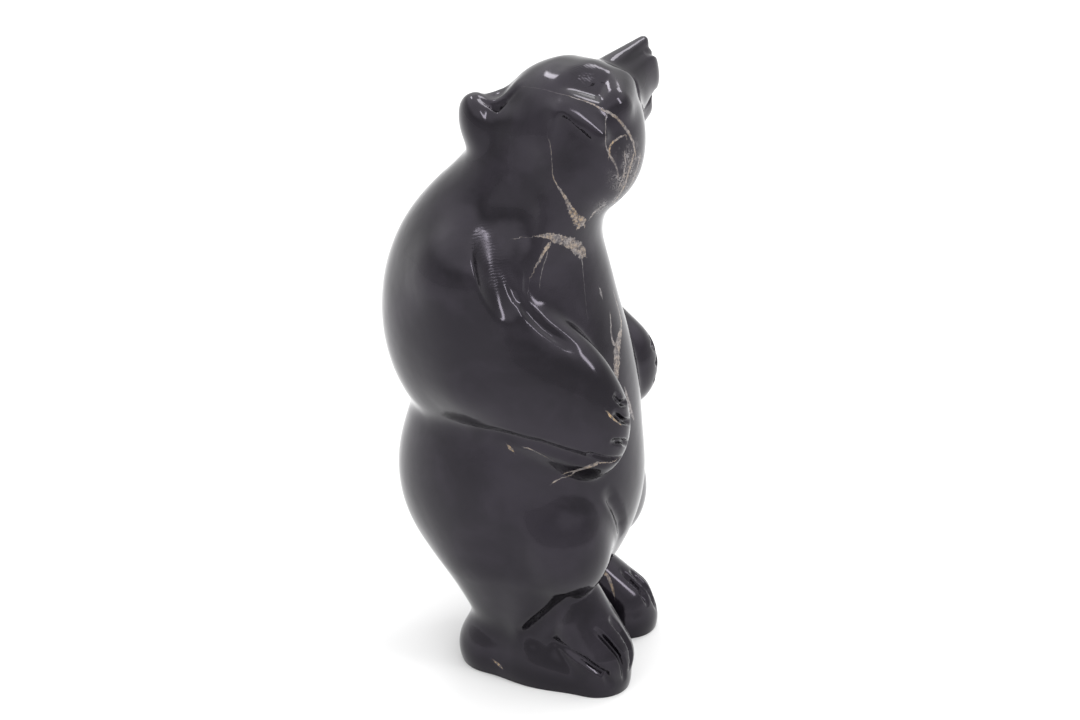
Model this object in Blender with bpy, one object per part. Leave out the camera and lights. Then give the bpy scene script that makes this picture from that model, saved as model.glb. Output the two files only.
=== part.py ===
"""Standing bear carved in one piece from dark septarian stone.

The bear stands on its hind legs and faces -Y, with its right side towards -X, and turns
its raised head to its own left. Both forelegs lie across the belly. It is one solid,
with a flat underside at z = 0.

The carving is laid out on a grid that counts GRID_TOP units up the whole figure. Each
mass, hollow and groove has its place on that grid, so all of them are shares of HEIGHT.
"""

from collections import namedtuple

import bmesh
import bpy
import numpy as np
from mathutils import Matrix, Vector

# Size of the figure, in metres, and of one grid unit
HEIGHT = 0.250
GRID_TOP = 248.85
UNIT = HEIGHT / GRID_TOP

# Fineness of the surface: voxels in grid units, and triangles before the base is cut
VOXEL = 1.7
TRIANGLES = 9900
BALL_SEGMENTS = 24

# Drawing the skin onto the form: passes, longest move and feeler length, in grid units
PASSES = 4
LONGEST_MOVE = 3.0
FEELER = 0.2
SMOOTHING = 0.5

# Masses and grooves. A blend is the size of the fillet where a mass meets the others,
# and a pair has its mirror image on the bear's other side.
Egg = namedtuple("Egg", "name centre half_sizes turn blend pair", defaults=((0, 0, 0), 1, False))
Limb = namedtuple("Limb", "name start end start_radius end_radius blend pair", defaults=(1, False))
Notch = namedtuple("Notch", "name bottom rim softness blend reach pair", defaults=(False,))
Groove = namedtuple("Groove", "name path width depth pair", defaults=(False,))

BODY = (
    Egg("belly", (0, -1.4, 98), (39, 45.6, 86)),
    Egg("chest", (0, -6.3, 160), (28, 26.3, 34), blend=14),
    Egg("hips", (0, 1.6, 79), (44, 49.1, 50.5), blend=10),
    Limb("leg", (-16.5, 2.5, 55), (-16, -1, 20), 25, 13.3, blend=12, pair=True),
    Limb("shin", (-24, -14, 52), (-20, -13, 16), 18, 13.5, blend=8, pair=True),
    Egg("knee", (-26, -25, 63), (19, 18, 24), turn=(-10, 0, 0), blend=9, pair=True),
    Limb("right foot", (-16, 4.5, 6), (-23.5, -38, 4), 17, 14, blend=10),
    Egg("side of right foot", (-24, -18, 5), (13, 20, 14), blend=8),
    Limb("right instep", (-21.5, -27.5, 32), (-23.5, -39, 13), 13, 14, blend=3),
    Limb("left foot", (16, 3, 6), (23.5, -36, 4), 17, 14, blend=10),
    Egg("side of left foot", (24, -17, 5), (13, 20, 14), blend=8),
    Limb("left instep", (21.5, -21, 24), (23.5, -35.5, 11), 11.5, 12.3, blend=3),
)
SHOULDERS_AND_FORELEGS = (
    Egg("back", (0, 13.7, 148), (46.5, 41.7, 56)),
    Limb("upper foreleg", (-27, 12, 170), (-29, 6, 136), 21.5, 20, blend=12, pair=True),
    Egg("right forearm", (-29, -14, 129), (16, 40, 29), turn=(38.5, 0, 0), blend=12),
    Egg("right paw", (-27, -35, 114), (12, 14.5, 21), blend=8),
    Egg("left forearm", (29, -12, 123.5), (16, 35, 24), turn=(35, 0, 0), blend=12),
    Egg("left paw", (27, -32.5, 117), (12, 13.5, 17), blend=8),
)
SHOULDER_BLEND = 5
NECK = (Limb("neck", (0, 4.8, 180), (2, -10.6, 213), 33, 25),)
NECK_BLEND = 9

# The head has its own grid: x to the bear's left, -y to its nose, z to its crown.
HEAD_CENTRE = (4, -19, 219)
HEAD_YAW = 70      # to its left
HEAD_PITCH = 8     # nose up
HEAD_ROLL = 7      # right ear up
HEAD_BLEND = 10
HEAD = (
    Egg("skull", (0, 0, 3), (25, 26, 27.4)),
    Egg("crown", (8, 3, 10), (16, 16, 17.2), blend=8),
    Egg("cheek", (-7, 1, -7), (17, 20.5, 20), blend=12, pair=True),
    Limb("root of muzzle", (0, -6, 4), (-0.5, -27, 5), 19, 10, blend=10),
    Limb("ridge of muzzle", (-2.2, -16, 18.5), (-2.2, -46, 19.5), 4.5, 2.2, blend=3),
    Limb("side of muzzle", (-1.8, -14, 11), (-1.8, -43.5, 12), 9.5, 5.6, blend=5),
    Limb("lips", (0.5, -14, 3), (-0.8, -42, 5), 13, 7.2, blend=9),
    Limb("jaw", (0, -14, -6), (0, -37, -3.5), 11, 7, blend=3),
    Limb("brow", (-13, -14, 15), (-19, -2, 13), 6, 7, blend=6, pair=True),
    Egg("left ear", (26, 24.5, 12), (10, 6, 11.5), turn=(0, 0, -35), blend=6),
    Limb("rim of left ear", (28.5, 22, 18), (15, 6, 20), 3, 2.4, blend=4),
    Limb("front of left ear", (25.3, 22, 21), (19, 21, 16.5), 2, 2, blend=7),
    Limb("root of left ear", (19, 21, 16.5), (11.5, 12.6, 22.5), 2, 2, blend=7),
    Limb("base of left ear", (19.5, 21, 11.5), (9, 19, 12), 5.5, 5.5, blend=6),
    Limb("right ear", (-11, 17, 16.5), (-22.5, 12.5, 7.5), 4.4, 1.8, blend=9),
)

# Hollows that are cut away
BODY_HOLLOWS = (
    Limb("side of neck", (-31, -14, 215.5), (-34, -5, 200.5), 10, 10, blend=2),
    Egg("shoulder scoop", (-44.7, -8, 186), (14, 14, 40), turn=(-16, 14, 0), blend=1, pair=True),
    Egg("flank", (-59, -18, 91), (20, 20, 24), blend=8, pair=True),
    Egg("knee dimple", (-44.5, -40, 89), (12, 12, 14), blend=5, pair=True),
    Limb("ankle hollow", (-36.5, -30, 40), (-39, -15, 22), 4.5, 6.5, blend=3, pair=True),
)
HEAD_HOLLOWS = (
    Limb("nape", (-3.7, 44.5, 0.5), (-3, 50, -11), 18, 20, blend=8),
)
# Three-sided notches, from the deepest point out through three points of the rim
HEAD_NOTCHES = (
    Notch("right temple", (-12.6, 0.3, 19.5), (
        (-8, 13, 25.5), (-16.5, -7.5, 23.5), (-22.5, 6.5, 15)), softness=5, blend=0.8, reach=30),
    Notch("below right ear", (-13.5, 17.5, 17.5), (
        (-26.5, 13.5, 2), (-0.5, 32, -9), (-6, 40, 32)), softness=2, blend=1, reach=40),
    Notch("cup of left ear", (21.5, 15.5, 18), (
        (24, 23.5, 23), (18, 23, 17), (10.5, 14, 23.5)), softness=2, blend=1, reach=30),
)

# Grooves, whose paths are drawn down onto the surface
BODY_GROOVES = (
    Groove("front of shoulder", (
        (-29, -6, 203), (-31, -10, 190), (-34, -14, 174), (-35, -18, 163)), 6, 2.0, pair=True),
    Groove("inner edge of foreleg", (
        (-35, -3.2, 181), (-37.3, -9.4, 168.5), (-36, -19.5, 157), (-35, -33, 147.5)), 3.2, 1.5, pair=True),
    Groove("outer toe", (
        (-33.5, -21, 21), (-37, -37, 16.5), (-35.9, -45.6, 11), (-34.5, -47.3, 4)), 3, 2.2, pair=True),
    Groove("second toe", (
        (-31.4, -38.5, 29), (-31, -44.8, 22.7), (-30.5, -49.2, 17.3), (-28.4, -51.6, 5)), 2.4, 1.8, pair=True),
    Groove("third toe", (
        (-24.9, -41.7, 30), (-23.7, -47.2, 23.1), (-24.1, -50.2, 18.8), (-25.7, -52.1, 8)), 2.4, 1.8, pair=True),
    Groove("inner toe", (
        (-19, -39, 32), (-17.5, -45, 26), (-17.8, -49, 20.5), (-18.5, -51, 13)), 2.4, 1.8, pair=True),
    Groove("first finger", ((-33.7, -46.7, 132.6), (-31, -49, 128), (-26, -48, 126)), 2.4, 1.8, pair=True),
    Groove("second finger", ((-36.1, -46.7, 126), (-32, -50, 121), (-26, -49.5, 118)), 2.4, 1.8, pair=True),
    Groove("third finger", ((-37.1, -46, 114.5), (-31.6, -50, 112), (-26, -49, 109)), 2.4, 1.8, pair=True),
    Groove("fourth finger", ((-40.3, -37.2, 109.6), (-35.5, -45, 105.5), (-29, -48, 104)), 2.4, 1.8, pair=True),
)
HEAD_GROOVES = (
    Groove("mouth", ((-9, -28, -2), (-8, -42, -0.5), (0, -50, 0), (8, -42, -0.5), (9, -28, -2)), 1.8, 1.5),
    Groove("nose", ((-6, -41, 17), (-5, -47.5, 13.5), (-1.5, -50, 13), (3, -46, 13.5)), 1.8, 0.9),
    Groove("forehead", ((-3, 14, 27), (-2.2, -5, 29.8), (-1, -24, 24)), 7, 0.6),
    Groove("temple", ((-15.1, -5.6, 22.9), (-20.2, 0.6, 18.4), (-22, 6.1, 14.2)), 4.5, 1.3, pair=True),
    Groove("eye", ((-10, -25, 13), (-13.5, -23, 10), (-17, -18, 7.5)), 2.8, 1.8, pair=True),
)
STEP_ALONG_GROOVE = 2.5
GROOVE_END = 0.25          # share of the length over which a groove runs out
MIRROR = np.array((-1.0, 1.0, 1.0))

# Polished black-violet stone
STONE_COLOUR = (0.020, 0.019, 0.023, 1)
STONE_ROUGHNESS = 0.18


def turned(degrees):
    """Rotation matrix of turns about X, then Y, then Z."""
    (ca, cb, cc), (sa, sb, sc) = np.cos(np.radians(degrees)), np.sin(np.radians(degrees))
    about_x = np.array(((1, 0, 0), (0, ca, -sa), (0, sa, ca)))
    about_y = np.array(((cb, 0, sb), (0, 1, 0), (-sb, 0, cb)))
    about_z = np.array(((cc, -sc, 0), (sc, cc, 0), (0, 0, 1)))
    return about_z @ about_y @ about_x


HEAD_FRAME = turned((0, 0, HEAD_YAW)) @ turned((-HEAD_PITCH, 0, 0)) @ turned((0, HEAD_ROLL, 0))


def to_head(points):
    return (points - np.array(HEAD_CENTRE)) @ HEAD_FRAME


def from_head(points):
    return points @ HEAD_FRAME.T + np.array(HEAD_CENTRE)


def distance_to_egg(egg, points):
    local = (points - np.array(egg.centre)) @ turned(egg.turn)
    sizes = np.array(egg.half_sizes)
    share = np.linalg.norm(local / sizes, axis=1)
    slope = np.linalg.norm(local / sizes**2, axis=1) + 1e-9
    return share * (share - 1) / slope


def distance_to_limb(limb, points):
    start, end = np.array(limb.start), np.array(limb.end)
    length = np.linalg.norm(end - start)
    axis = (end - start) / length
    along = (points - start) @ axis
    aside = np.linalg.norm(points - start - along[:, None] * axis, axis=1)
    taper = (limb.start_radius - limb.end_radius) / length
    seat = np.clip(along - aside * taper / np.sqrt(1 - taper**2), 0, length)
    return np.hypot(aside, along - seat) - limb.start_radius + taper * seat


def distance_to_notch(notch, points):
    """Distance to the corner between three planes, as far as the notch reaches."""
    corner = np.array(notch.bottom, float)
    edges = np.array(notch.rim, float) - corner
    away = np.linalg.norm(points - corner, axis=1) - notch.reach
    for number in range(3):
        wall = np.cross(edges[number], edges[number - 1])
        wall *= -np.sign(wall @ edges[number - 2]) / np.linalg.norm(wall)
        away = -joined(-away, -((points - corner) @ wall), notch.softness)
    return away


DISTANCE_TO = {Egg: distance_to_egg, Limb: distance_to_limb, Notch: distance_to_notch}


def distance(mass, points):
    """How far each point lies outside a mass. Inside, the distance is negative."""
    return DISTANCE_TO[type(mass)](mass, points)


def joined(one, other, blend):
    """Distance to two forms joined with a fillet."""
    near = np.maximum(blend - np.abs(one - other), 0) / blend
    return np.minimum(one, other) - near**3 * blend / 6


def sides(mass, points):
    """The points, and for a pair their mirror image too."""
    return (points, points * MIRROR) if mass.pair else (points,)


def add(masses, points, form=None):
    for mass in masses:
        for side in sides(mass, points):
            away = distance(mass, side)
            form = away if form is None else joined(form, away, mass.blend)
    return form


def cut(masses, points, form):
    for mass in masses:
        for side in sides(mass, points):
            form = -joined(-form, distance(mass, side), mass.blend)
    return form


def smooth_form(points):
    """Distance to the bear's surface before its grooves are cut."""
    head_points = to_head(points)
    form = joined(add(BODY, points), add(SHOULDERS_AND_FORELEGS, points), SHOULDER_BLEND)
    head = joined(add(NECK, points), add(HEAD, head_points), HEAD_BLEND)
    head = cut(HEAD_NOTCHES, head_points, head)
    form = joined(form, head, NECK_BLEND)
    form = cut(BODY_HOLLOWS, points, form)
    return cut(HEAD_HOLLOWS, head_points, form)


def drawn_onto(form, points, passes=PASSES):
    """Points moved along the slope of a form until they lie on its surface."""
    feelers = FEELER * np.array(((1, -1, -1), (-1, -1, 1), (-1, 1, -1), (1, 1, 1)))
    for _ in range(passes):
        felt = [form(points + feeler) for feeler in feelers]
        slope = sum(value[:, None] * feeler for value, feeler in zip(felt, feelers)) / (4 * FEELER**2)
        steepness = np.maximum((slope**2).sum(axis=1), 0.1)
        move = slope * (np.mean(felt, axis=0) / steepness)[:, None]
        length = np.linalg.norm(move, axis=1, keepdims=True)
        points = points - move * np.minimum(1, LONGEST_MOVE / np.maximum(length, 1e-9))
    return points


def laid_path(path):
    """A groove's path in short steps on the bear's surface."""
    path = np.array(path, float)
    points = [path[:1]]
    for start, end in zip(path, path[1:]):
        steps = max(1, round(np.linalg.norm(end - start) / STEP_ALONG_GROOVE))
        points.append(start + (end - start) * np.arange(1, steps + 1)[:, None] / steps)
    return drawn_onto(smooth_form, np.concatenate(points))


def laid_grooves():
    """Every groove as (path on the surface, width, depth), its mirror image after it."""
    laid = []
    for groove in BODY_GROOVES + HEAD_GROOVES:
        for path in sides(groove, np.array(groove.path, float)):
            place = from_head(path) if groove in HEAD_GROOVES else path
            laid.append((laid_path(place), groove.width, groove.depth))
    return laid


def depth_of_groove(groove, points):
    """How deep a groove cuts at each point: deepest on its path, running out at its ends."""
    path, width, depth = groove
    close = np.full(len(points), width**2)
    share = np.zeros(len(points))
    for number, (start, end) in enumerate(zip(path, path[1:])):
        step = end - start
        along = np.clip((points - start) @ step / (step @ step), 0, 1)
        gap = ((points - start - along[:, None] * step) ** 2).sum(axis=1)
        share = np.where(gap < close, (number + along) / (len(path) - 1), share)
        close = np.minimum(close, gap)
    run_out = np.clip(np.minimum(share, 1 - share) / GROOVE_END, 0, 1)
    return depth * run_out * (1 - close / width**2) ** 2


def carved_form(grooves):
    """The distance to the bear's surface with its grooves, as a function of points."""
    def form(points):
        surface = smooth_form(points)
        for groove in grooves:
            path, width, _ = groove
            inside = ((points > path.min(axis=0) - width) & (points < path.max(axis=0) + width)).all(axis=1)
            surface[inside] += depth_of_groove(groove, points[inside])
        return surface
    return form


def add_ball(bm, place, half_sizes):
    bmesh.ops.create_uvsphere(
        bm, u_segments=BALL_SEGMENTS, v_segments=BALL_SEGMENTS // 2, radius=1,
        matrix=place @ Matrix.Diagonal((*half_sizes, 1)),
    )


def add_egg(bm, egg, place):
    turn = Matrix(turned(egg.turn).tolist()).to_4x4()
    add_ball(bm, place @ Matrix.Translation(egg.centre) @ turn, egg.half_sizes)


def add_limb(bm, limb, place):
    """A tapered bar between two balls."""
    start, end = Vector(limb.start), Vector(limb.end)
    for centre, radius in ((start, limb.start_radius), (end, limb.end_radius)):
        add_ball(bm, place @ Matrix.Translation(centre), (radius,) * 3)
    upright = (end - start).to_track_quat("Z", "Y").to_matrix().to_4x4()
    bmesh.ops.create_cone(
        bm, cap_ends=True, segments=BALL_SEGMENTS, depth=(end - start).length,
        radius1=limb.start_radius, radius2=limb.end_radius,
        matrix=place @ Matrix.Translation((start + end) / 2) @ upright,
    )


def rough_out():
    """The masses as balls and bars, each where it belongs, in one mesh."""
    bm = bmesh.new()
    body = Matrix.Scale(UNIT, 4)
    head = body @ Matrix.Translation(HEAD_CENTRE) @ Matrix(HEAD_FRAME.tolist()).to_4x4()
    mirror = Matrix.Diagonal((*MIRROR, 1))
    for place, masses in ((body, BODY + SHOULDERS_AND_FORELEGS + NECK), (head, HEAD)):
        for mass in masses:
            for side in (place, place @ mirror) if mass.pair else (place,):
                (add_egg if isinstance(mass, Egg) else add_limb)(bm, mass, side)
    mesh = bpy.data.meshes.new("bear_carving")
    bm.to_mesh(mesh)
    bm.free()
    return mesh


def with_modifier(bear, kind, **settings):
    """Replaces the bear's mesh by what one modifier makes of it."""
    modifier = bear.modifiers.new(kind.title(), kind)
    for name, value in settings.items():
        setattr(modifier, name, value)
    shaped = bpy.data.meshes.new_from_object(bear.evaluated_get(bpy.context.evaluated_depsgraph_get()))
    bear.modifiers.clear()
    old, bear.data = bear.data, shaped
    bpy.data.meshes.remove(old)


def draw_skin(bear, form):
    """Moves the skin's points onto the form."""
    count = len(bear.data.vertices)
    places = np.empty(count * 3, np.float32)
    bear.data.vertices.foreach_get("co", places)
    drawn = drawn_onto(form, places.reshape(count, 3).astype(float) / UNIT) * UNIT
    bear.data.vertices.foreach_set("co", drawn.astype(np.float32).ravel())
    bear.data.update()


def cut_flat_underside(bear):
    """Cuts the figure off at z = 0 and closes it with one flat face for each outline."""
    bm = bmesh.new()
    bm.from_mesh(bear.data)
    everything = bm.verts[:] + bm.edges[:] + bm.faces[:]
    level = bmesh.ops.bisect_plane(
        bm, geom=everything, dist=0.05 * UNIT, plane_co=(0, 0, 0), plane_no=(0, 0, 1), clear_inner=True,
    )
    rim = [item for item in level["geom_cut"] if isinstance(item, bmesh.types.BMEdge)]
    bmesh.ops.holes_fill(bm, edges=rim, sides=0)
    for vertex in bm.verts:
        if abs(vertex.co.z) < 0.05 * UNIT:
            vertex.co.z = 0
    bmesh.ops.triangulate(bm, faces=bm.faces[:])
    bmesh.ops.recalc_face_normals(bm, faces=bm.faces[:])
    bm.to_mesh(bear.data)
    bm.free()


def stone():
    material = bpy.data.materials.new("septarian_stone")
    material.use_nodes = True
    shader = material.node_tree.nodes["Principled BSDF"]
    shader.inputs["Base Color"].default_value = STONE_COLOUR
    shader.inputs["Roughness"].default_value = STONE_ROUGHNESS
    shader.inputs["Metallic"].default_value = 0
    return material


def make_bear():
    bear = bpy.data.objects.new("bear_carving", rough_out())
    bpy.context.scene.collection.objects.link(bear)
    form = carved_form(laid_grooves())
    for _ in range(2):
        with_modifier(bear, "REMESH", mode="VOXEL", voxel_size=VOXEL * UNIT)
        draw_skin(bear, smooth_form)
        with_modifier(bear, "SMOOTH", factor=SMOOTHING, iterations=2)
    draw_skin(bear, form)
    triangles = sum(len(face.vertices) - 2 for face in bear.data.polygons)
    with_modifier(bear, "DECIMATE", ratio=TRIANGLES / triangles, use_collapse_triangulate=True)
    cut_flat_underside(bear)
    bear.data.shade_smooth()
    bear.data.materials.clear()
    bear.data.materials.append(stone())
    return bear


def main():
    for old in list(bpy.data.objects):
        bpy.data.objects.remove(old)
    make_bear()


main()
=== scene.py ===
"""Standing bear carved in one piece from dark septarian stone, on a plain pale floor.

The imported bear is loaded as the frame. A finer bear is carved over the same masses,
hollows and grooves and stands for it. Its calcite veins are drawn onto its surface.
The bear faces -Y, its right side is towards -X, and z = 0 is its flat underside.
"""

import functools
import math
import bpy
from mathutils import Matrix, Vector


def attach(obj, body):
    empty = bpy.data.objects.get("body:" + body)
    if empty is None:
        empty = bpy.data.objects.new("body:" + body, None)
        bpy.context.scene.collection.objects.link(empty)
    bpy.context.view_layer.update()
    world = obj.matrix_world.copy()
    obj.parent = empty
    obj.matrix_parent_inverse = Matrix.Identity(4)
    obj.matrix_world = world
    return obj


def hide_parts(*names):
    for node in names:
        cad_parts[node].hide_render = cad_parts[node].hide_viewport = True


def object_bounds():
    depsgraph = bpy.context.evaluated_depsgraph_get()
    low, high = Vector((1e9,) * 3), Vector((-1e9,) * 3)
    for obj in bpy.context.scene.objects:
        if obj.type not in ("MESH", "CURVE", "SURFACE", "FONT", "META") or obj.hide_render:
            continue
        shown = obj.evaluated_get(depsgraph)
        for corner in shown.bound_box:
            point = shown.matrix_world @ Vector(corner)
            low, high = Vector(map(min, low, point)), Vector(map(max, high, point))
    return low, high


bl_info = {
    "name": "Septarian stone bear",
    "version": (1, 0, 0),
    "blender": (4, 5, 0),
    "location": "View3D > Sidebar > Bear",
    "description": "Carves a standing bear from dark veined stone and sets it on a pale studio floor",
    "category": "Object",
}

from collections import namedtuple

import bpy
import numpy as np
from mathutils import Matrix, Vector

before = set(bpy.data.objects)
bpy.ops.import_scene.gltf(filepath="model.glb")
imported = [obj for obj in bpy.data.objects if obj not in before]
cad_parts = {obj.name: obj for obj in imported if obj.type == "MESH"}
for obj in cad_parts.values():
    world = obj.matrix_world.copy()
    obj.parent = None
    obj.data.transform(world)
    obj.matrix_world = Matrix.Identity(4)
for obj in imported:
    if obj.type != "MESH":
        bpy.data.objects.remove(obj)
CAD_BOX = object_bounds()

# The carving's own grid: GRID_TOP units from the floor to the tip of the muzzle
GRID_TOP = 248.85
HEIGHT = 0.250
UNIT = HEIGHT / GRID_TOP
MM = 0.001

# Masses, hollows and grooves on the grid. A blend is the size of the fillet where a mass
# meets the others, and a pair has its mirror image on the bear's other side.
Egg = namedtuple("Egg", "name centre half_sizes turn blend pair", defaults=((0, 0, 0), 1, False))
Limb = namedtuple("Limb", "name start end start_radius end_radius blend pair", defaults=(1, False))
Notch = namedtuple("Notch", "name bottom rim softness blend reach pair", defaults=(False,))
Groove = namedtuple("Groove", "name path half_width depth pair", defaults=(False,))

BODY = (
    Egg("belly", (0, -1.4, 98), (39, 45.6, 86)),
    Egg("chest", (0, -6.3, 160), (28, 26.3, 34), blend=14),
    Egg("hips", (0, 1.6, 79), (44, 49.1, 50.5), blend=10),
    Limb("leg", (-16.5, 2.5, 55), (-16, -1, 20), 25, 13.3, blend=12, pair=True),
    Limb("shin", (-24, -14, 52), (-20, -13, 16), 18, 13.5, blend=8, pair=True),
    Egg("knee", (-26, -25, 63), (19, 18, 24), turn=(-10, 0, 0), blend=9, pair=True),
    Limb("right foot", (-16, 4.5, 6), (-23.5, -38, 4), 17, 14, blend=10),
    Egg("side of right foot", (-24, -18, 5), (13, 20, 14), blend=8),
    Limb("right instep", (-21.5, -27.5, 32), (-23.5, -39, 13), 13, 14, blend=3),
    Limb("left foot", (16, 3, 6), (23.5, -36, 4), 17, 14, blend=10),
    Egg("side of left foot", (24, -17, 5), (13, 20, 14), blend=8),
    Limb("left instep", (21.5, -21, 24), (23.5, -35.5, 11), 11.5, 12.3, blend=3),
)
SHOULDERS_AND_FORELEGS = (
    Egg("back", (0, 13.7, 148), (46.5, 41.7, 56)),
    Limb("upper foreleg", (-27, 12, 170), (-29, 6, 136), 21.5, 20, blend=12, pair=True),
    Egg("right forearm", (-29, -14, 129), (16, 40, 29), turn=(38.5, 0, 0), blend=12),
    Egg("right paw", (-27, -35, 114), (12, 14.5, 21), blend=8),
    Egg("left forearm", (29, -12, 123.5), (16, 35, 24), turn=(35, 0, 0), blend=12),
    Egg("left paw", (27, -32.5, 117), (12, 13.5, 17), blend=8),
)
SHOULDER_BLEND = 5
NECK = (Limb("neck", (0, 4.8, 180), (2, -10.6, 213), 33, 25),)
NECK_BLEND = 9

# The head has its own grid: x to the bear's left, -y to its nose, z to its crown.
HEAD_CENTRE = (4, -19, 219)
HEAD_YAW = 70      # to its left
HEAD_PITCH = 8     # nose up
HEAD_ROLL = 7      # right ear up
HEAD_BLEND = 10
HEAD = (
    Egg("skull", (0, 0, 3), (25, 26, 27.4)),
    Egg("crown", (8, 3, 10), (16, 16, 17.2), blend=8),
    Egg("cheek", (-7, 1, -7), (17, 20.5, 20), blend=12, pair=True),
    Limb("root of muzzle", (0, -6, 4), (-0.5, -27, 5), 19, 10, blend=10),
    Limb("ridge of muzzle", (-2.2, -16, 18.5), (-2.2, -46, 19.5), 4.5, 2.2, blend=3),
    Limb("side of muzzle", (-1.8, -14, 11), (-1.8, -43.5, 12), 9.5, 5.6, blend=5),
    Limb("lips", (0.5, -14, 3), (-0.8, -42, 5), 13, 7.2, blend=9),
    Limb("jaw", (0, -14, -6), (0, -37, -3.5), 11, 7, blend=3),
    Limb("brow", (-13, -14, 15), (-19, -2, 13), 6, 7, blend=6, pair=True),
    Egg("left ear", (26, 24.5, 12), (10, 6, 11.5), turn=(0, 0, -35), blend=6),
    Limb("rim of left ear", (28.5, 22, 18), (15, 6, 20), 3, 2.4, blend=4),
    Limb("front of left ear", (25.3, 22, 21), (19, 21, 16.5), 2, 2, blend=7),
    Limb("root of left ear", (19, 21, 16.5), (11.5, 12.6, 22.5), 2, 2, blend=7),
    Limb("base of left ear", (19.5, 21, 11.5), (9, 19, 12), 5.5, 5.5, blend=6),
    Limb("right ear", (-11, 17, 16.5), (-22.5, 12.5, 7.5), 4.4, 1.8, blend=9),
)

# Hollows that are cut away
BODY_HOLLOWS = (
    Limb("side of neck", (-32.4, -11.5, 207), (-33.6, -4.5, 199), 9.5, 10, blend=6),
    Egg("shoulder scoop", (-44.7, -8, 186), (14, 14, 40), turn=(-16, 14, 0), blend=1, pair=True),
    Egg("flank", (-59, -18, 91), (20, 20, 24), blend=8, pair=True),
    Egg("knee dimple", (-44.5, -40, 89), (12, 12, 14), blend=5, pair=True),
    Limb("ankle hollow", (-36.5, -30, 40), (-39, -15, 22), 4.5, 6.5, blend=3, pair=True),
)
HEAD_HOLLOWS = (
    Limb("nape", (-3.7, 44.5, 0.5), (-3, 50, -11), 18, 20, blend=8),
)
# Three-sided notches, from the deepest point out through three points of the rim
HEAD_NOTCHES = (
    Notch("right temple", (-16.1, 2.7, 18.3), (
        (-8.1, 12.1, 25.6), (-15.1, -7.7, 23.6), (-21.1, 5.9, 17.2)),
        softness=1.5, blend=3, reach=16),
    Notch("below right ear", (-13.5, 17.5, 17.5), (
        (-26.5, 13.5, 2), (-0.5, 32, -9), (-6, 40, 32)),
        softness=3.5, blend=1, reach=40),
    Notch("cup of left ear", (17.3, 21.2, 15.6), (
        (23, 24.5, 23.3), (15, 23.9, 17.6), (9.8, 15.5, 24)),
        softness=1.5, blend=1.2, reach=16),
)

# Grooves, whose paths are drawn down onto the surface
BODY_GROOVES = (
    Groove("front of shoulder", (
        (-29, -6, 203), (-31, -10, 190), (-34, -14, 174), (-35, -18, 163)),
        6, 2.0, pair=True),
    Groove("inner edge of foreleg", (
        (-35, -3.2, 181), (-37.3, -9.4, 168.5), (-36, -19.5, 157), (-35, -33, 147.5)),
        3.2, 1.5, pair=True),
    Groove("outer toe", (
        (-33.5, -21, 21), (-37, -37, 16.5), (-35.9, -45.6, 11), (-34.5, -47.3, 4)),
        2.4, 2.3, pair=True),
    Groove("second toe", (
        (-31.4, -38.5, 29), (-31, -44.8, 22.7), (-30.5, -49.2, 17.3), (-28.4, -51.6, 5)),
        2.0, 2.1, pair=True),
    Groove("third toe", (
        (-24.9, -41.7, 30), (-23.7, -47.2, 23.1), (-24.1, -50.2, 18.8), (-25.7, -52.1, 8)),
        2.0, 2.1, pair=True),
    Groove("inner toe", (
        (-19, -39, 32), (-17.5, -45, 26), (-17.8, -49, 20.5), (-18.5, -51, 13)),
        2.0, 2.1, pair=True),
    Groove("inner edge of knee", (
        (-24, -40.2, 87), (-21.4, -42.3, 81.4), (-18.2, -43.9, 75.2), (-14.3, -44.5, 68), (-9, -43.5, 59)),
        4, 1.6, pair=True),
    Groove("under the foreleg", (
        (-40, 9, 113), (-42, -4, 112.5), (-43, -20, 111), (-41, -33.5, 107.5), (-36.7, -43.3, 104.6),
        (-30, -48, 104)),
        4, 1.6, pair=True),
    Groove("first finger", ((-33.7, -46.7, 132.6), (-31, -49, 128), (-26, -48, 126)), 2.0, 2.1, pair=True),
    Groove("second finger", ((-36.1, -46.7, 126), (-32, -50, 121), (-26, -49.5, 118)), 2.0, 2.1, pair=True),
    Groove("third finger", ((-37.1, -46, 114.5), (-31.6, -50, 112), (-26, -49, 109)), 2.0, 2.1, pair=True),
    Groove("fourth finger", (
        (-40.3, -37.2, 109.6), (-35.5, -45, 105.5), (-29, -48, 104)), 2.0, 2.1, pair=True),
)
HEAD_GROOVES = (
    Groove("mouth", ((-9, -28, -2), (-8, -42, -0.5), (0, -50, 0), (8, -42, -0.5), (9, -28, -2)), 1.8, 1.5),
    Groove("nose", ((-6, -41, 17), (-5, -47.5, 13.5), (-1.5, -50, 13), (3, -46, 13.5)), 1.8, 0.9),
    Groove("forehead", ((-3, 14, 27), (-2.2, -5, 29.8), (-1, -24, 24)), 7, 0.6),
    Groove("left temple", ((15.1, -5.6, 22.9), (20.2, 0.6, 18.4), (22, 6.1, 14.2)), 4.5, 1.3),
    Groove("eye", ((-10, -25, 13), (-13.5, -23, 10), (-17, -18, 7.5)), 2.8, 1.8, pair=True),
)
STEP_ALONG_GROOVE = 2.5
GROOVE_END = 0.25          # share of the length over which a groove runs out
MIRROR = np.array((-1.0, 1.0, 1.0))

# Drawing a skin onto the form, in grid units
PASSES = 4
LONGEST_MOVE = 3.0
FEELER = 0.2               # how far from a point the slope is felt
FLATTEST_SLOPE = 0.1
TINY = 1e-9
ROUGH_VOXEL = 1.8          # of the first skin, before the notches are cut
WIDEST_FINE_GROOVE = 2.4   # half width up to which the faces along a groove are split
SHARPEST_SMOOTH_EDGE = 50  # in degrees

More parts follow.
